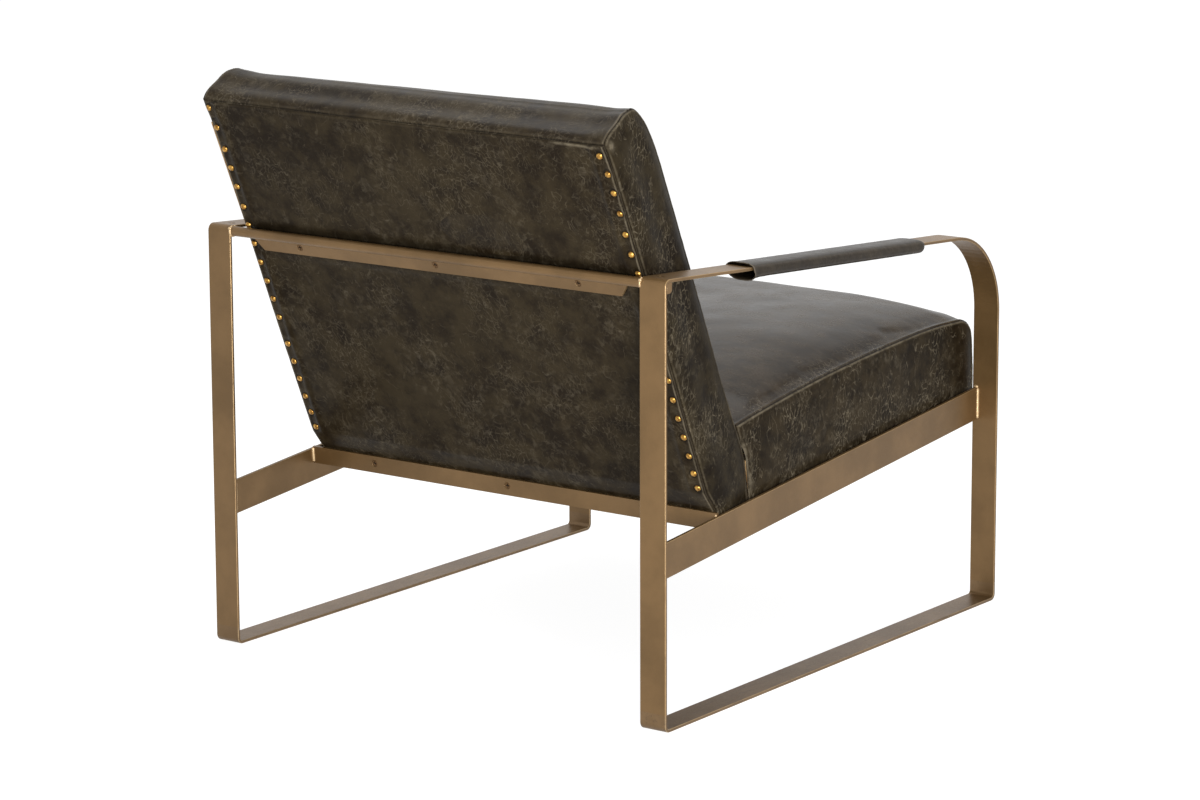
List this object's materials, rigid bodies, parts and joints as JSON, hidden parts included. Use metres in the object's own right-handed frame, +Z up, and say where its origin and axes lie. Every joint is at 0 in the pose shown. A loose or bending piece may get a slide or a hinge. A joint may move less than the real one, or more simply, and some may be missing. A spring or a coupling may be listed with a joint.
{
  "type": "occasional chair",
  "caption": "Low lounge armchair: two flat-bar steel side loops with leather-wrapped arms carry a crowned leather seat and a reclined leather back on a nailed rear panel.",
  "frame": {"origin": "on the floor, under the middle of the chair's bounding box", "axes": "+Z up, the sitter faces -Y, +X towards the sitter's left"},
  "size_m": [0.734, 0.8484, 0.7648],
  "materials": {
    "frame_paint": "satin antique bronze",
    "leather": "dark distressed leather",
    "timber": "raw frame wood",
    "webbing": "woven elastic webbing",
    "foam": "open-cell upholstery foam",
    "lining": "black dust cloth",
    "screws": "blackened"
  },
  "bodies": {
    "root": {"arm_bar_left": "frame_paint", "arm_bar_right": "frame_paint", "arm_foam_left": "foam", "arm_foam_right": "foam", "arm_screw_left": "screws", "arm_screw_right": "screws", "arm_sleeve_left": "leather", "arm_sleeve_right": "leather", "back_bottom_rail": "timber", "back_cover": "leather", "back_crossbar": "frame_paint", "back_foam": "foam", "back_middle_rail": "timber", "back_mounting_plate": "frame_paint", "back_plate_screw_left": "screws", "back_plate_screw_middle": "screws", "back_plate_screw_right": "screws", "back_rear_panel": "leather", "back_stile_left": "timber", "back_stile_right": "timber", "back_strap_1": "webbing", "back_strap_2": "webbing", "back_strap_3": "webbing", "back_strap_4": "webbing", "back_top_rail": "timber", "corner_block_front_left": "timber", "corner_block_front_right": "timber", "corner_block_rear_left": "timber", "corner_block_rear_right": "timber", "corner_plate_left": "frame_paint", "corner_plate_right": "frame_paint", "floor_runner_left": "frame_paint", "floor_runner_right": "frame_paint", "front_angle_screw_left": "screws", "front_angle_screw_middle": "screws", "front_angle_screw_right": "screws", "front_cross_angle": "frame_paint", "front_leg_left": "frame_paint", "front_leg_right": "frame_paint", "rear_angle_screw_left": "screws", "rear_angle_screw_middle": "screws", "rear_angle_screw_right": "screws", "rear_cross_angle": "frame_paint", "rear_leg_left": "frame_paint", "rear_leg_right": "frame_paint", "seat_cover": "leather", "seat_dust_cover": "lining", "seat_foam": "foam", "seat_front_board": "timber", "seat_rail_left": "frame_paint", "seat_rail_right": "frame_paint", "seat_rear_board": "timber", "seat_side_board_left": "timber", "seat_side_board_right": "timber", "seat_strap_1": "webbing", "seat_strap_2": "webbing", "seat_strap_3": "webbing", "seat_strap_4": "webbing", "seat_strap_5": "webbing"}
  },
  "joints": []
}
